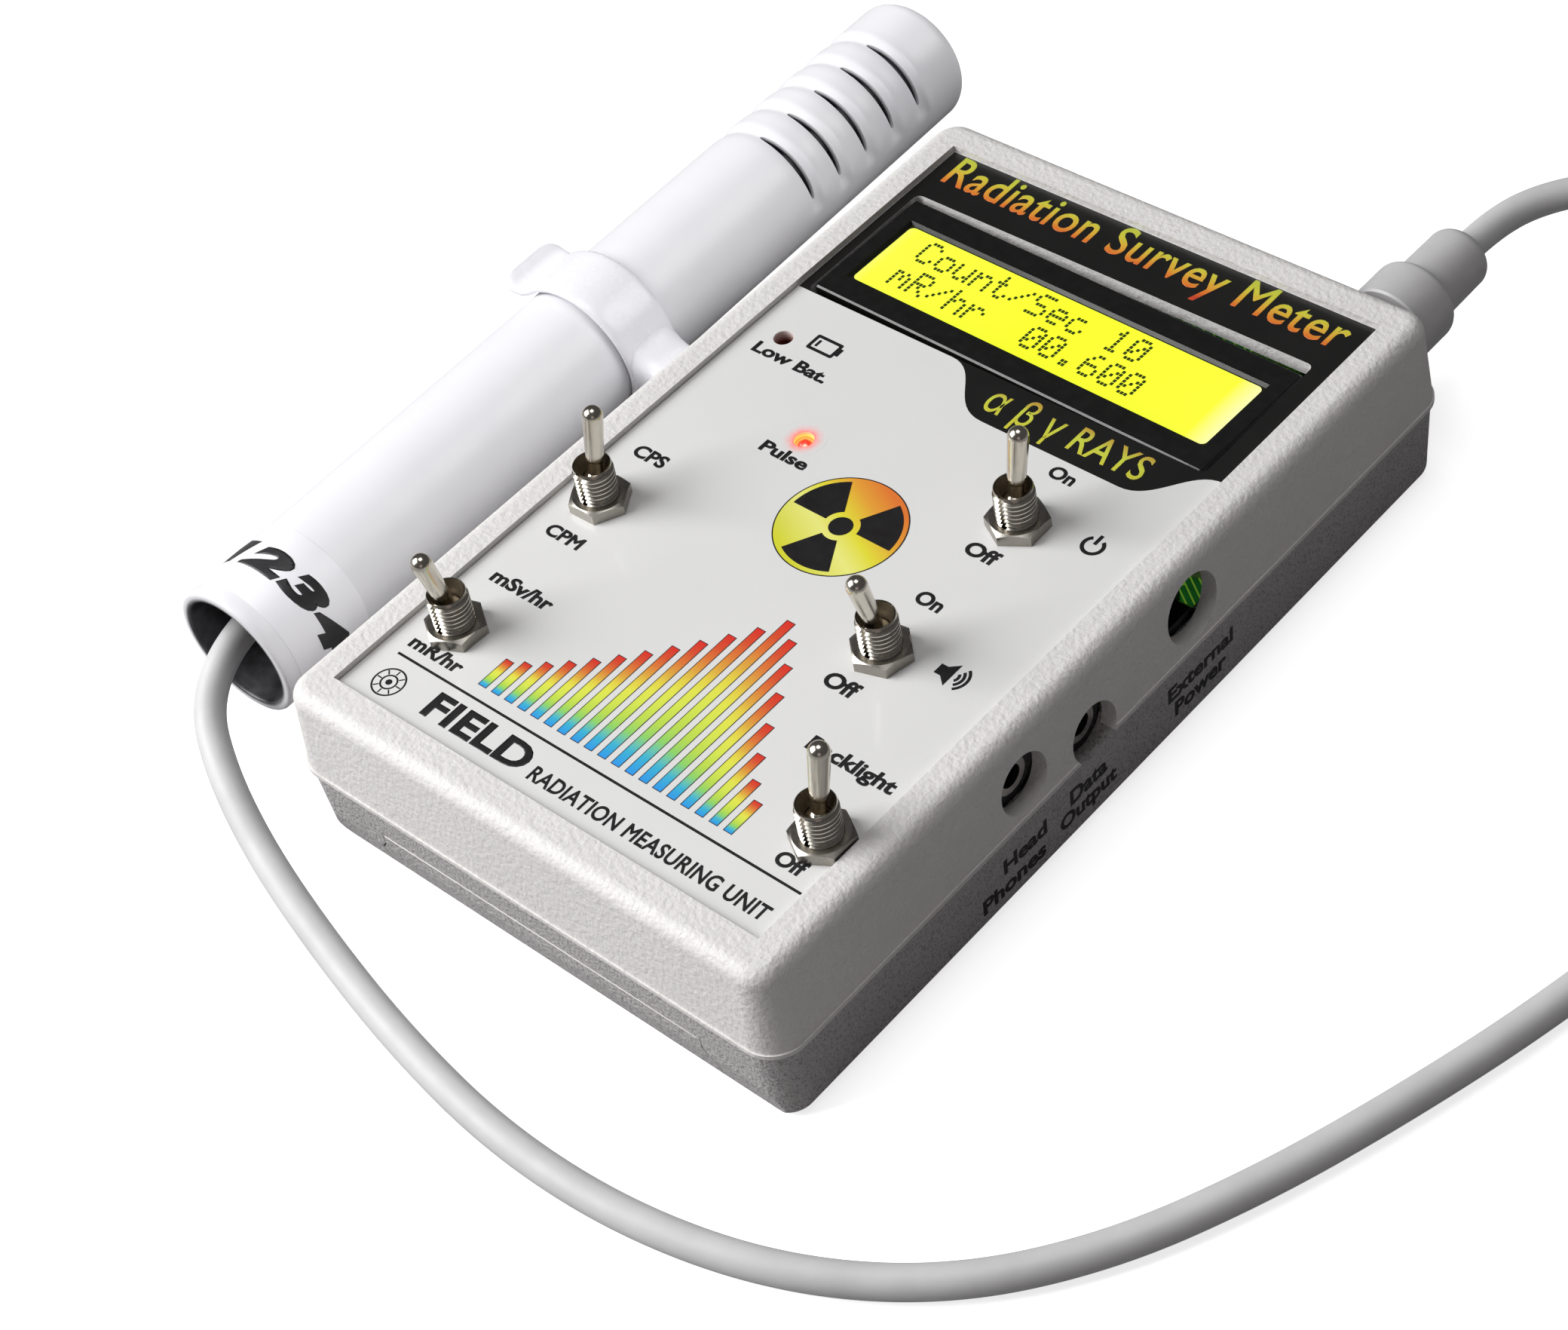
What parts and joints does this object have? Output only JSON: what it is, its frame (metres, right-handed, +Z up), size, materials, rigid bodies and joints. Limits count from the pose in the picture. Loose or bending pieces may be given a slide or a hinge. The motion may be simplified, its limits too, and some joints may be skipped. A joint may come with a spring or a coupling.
{
  "type": "geiger counter",
  "caption": "Handheld radiation survey meter in a plastic case with a lit display, toggle switches and a slotted wand probe held in a side clip and joined by a lead.",
  "frame": {"origin": "middle of the flat underside of the case, on the surface it stands on", "axes": "+Z up out of the front panel, +Y along the case towards the display end, +X towards the side with the jacks"},
  "size_m": [0.204, 0.2325, 0.0442],
  "materials": {
    "upper_shell": "fine moulded texture, light warm grey",
    "lower_shell": "fine moulded texture, light grey",
    "printed_label": "satin printed film",
    "plated_metal": "bright nickel plate",
    "switch_housing": "dark moulded plastic",
    "display_frame": "black satin",
    "display_glass": "lit yellow-green film",
    "display_backlight": "translucent yellow-green",
    "circuit_board": "green solder mask",
    "board_plastic": "black moulded",
    "nylon": "natural nylon",
    "can_metal": "drawn can",
    "fastener_steel": "zinc plate",
    "battery_jacket": "printed metal jacket",
    "snap_plastic": "black vinyl",
    "jack_plastic": "black moulded",
    "collar_metal": "nickel plate",
    "red_lens": "red lens",
    "dark_lens": "dark red lens, unlit",
    "wand_plastic": "white, satin",
    "clip_plastic": "glossy white",
    "dark_rubber": "black",
    "tube_steel": "drawn steel",
    "tube_mica": "thin mica",
    "lead_sheath": "light grey sheath, soft gloss",
    "plug_moulding": "grey moulding"
  },
  "bodies": {
    "case": {"battery": "battery_jacket", "battery_snap": "snap_plastic", "board_pillars": "nylon", "board_screws": "fastener_steel", "bottom_case": "lower_shell", "bushing_cps": "plated_metal", "bushing_dose": "plated_metal", "bushing_light": "plated_metal", "bushing_power": "plated_metal", "bushing_sound": "plated_metal", "capacitors": "can_metal", "case_screws": "fastener_steel", "clip_nut": "fastener_steel", "clip_screw": "fastener_steel", "contrast_trimmer": "board_plastic", "crystal": "can_metal", "data_jack": "jack_plastic", "face_label": "printed_label", "headphone_jack": "jack_plastic", "high_voltage_transformer": "board_plastic", "jack_collars": "collar_metal", "lcd_backlight": "display_backlight", "lcd_bezel": "display_frame", "lcd_glass": "display_glass", "lcd_pcb": "circuit_board", "lcd_spacers": "nylon", "low_battery_lamp": "dark_lens", "main_pcb": "circuit_board", "microcontroller": "board_plastic", "piezo_sounder": "board_plastic", "power_jack": "jack_plastic", "probe_cord": "lead_sheath", "probe_plug": "plug_moulding", "probe_socket": "collar_metal", "pulse_lamp": "red_lens", "spring_clip": "clip_plastic", "support_chips": "board_plastic", "switch_body_cps": "switch_housing", "switch_body_dose": "switch_housing", "switch_body_light": "switch_housing", "switch_body_power": "switch_housing", "switch_body_sound": "switch_housing", "switch_nuts": "plated_metal", "top_case": "upper_shell"},
    "cps_lever": {"lever_cps": "plated_metal"},
    "dose_lever": {"lever_dose": "plated_metal"},
    "power_lever": {"lever_power": "plated_metal"},
    "sound_lever": {"lever_sound": "plated_metal"},
    "light_lever": {"lever_light": "plated_metal"},
    "door": {"battery_door": "lower_shell"},
    "wand": {"geiger_tube": "tube_steel", "tube_rings": "dark_rubber", "tube_window": "tube_mica", "wand_end_cap": "wand_plastic", "wand_gland": "dark_rubber", "wand_tube": "wand_plastic"}
  },
  "joints": [
    {"name": "cps_switch", "type": "hinge", "parent": "case", "child": "cps_lever", "pos_m": [-0.0319, -0.0203, 0.032], "axis": [1, 0, 0], "range_deg": [0, 24]},
    {"name": "dose_switch", "type": "hinge", "parent": "case", "child": "dose_lever", "pos_m": [-0.0315, -0.0493, 0.032], "axis": [1, 0, 0], "range_deg": [-24, 0]},
    {"name": "power_switch", "type": "hinge", "parent": "case", "child": "power_lever", "pos_m": [0.0201, 0.0079, 0.032], "axis": [1, 0, 0], "range_deg": [0, 24]},
    {"name": "sound_switch", "type": "hinge", "parent": "case", "child": "sound_lever", "pos_m": [0.02, -0.0204, 0.032], "axis": [1, 0, 0], "range_deg": [-24, 0]},
    {"name": "light_switch", "type": "hinge", "parent": "case", "child": "light_lever", "pos_m": [0.0345, -0.0489, 0.032], "axis": [1, 0, 0], "range_deg": [0, 24]},
    {"name": "door_slide", "type": "slide", "parent": "case", "child": "door", "axis": [0, -1, 0], "range_m": [0, 0.01]},
    {"name": "wand_release", "type": "slide", "parent": "case", "child": "wand", "axis": [-1, 0, 0], "range_m": [0, 0.04], "deforming": ["spring_clip", "probe_cord"]}
  ]
}
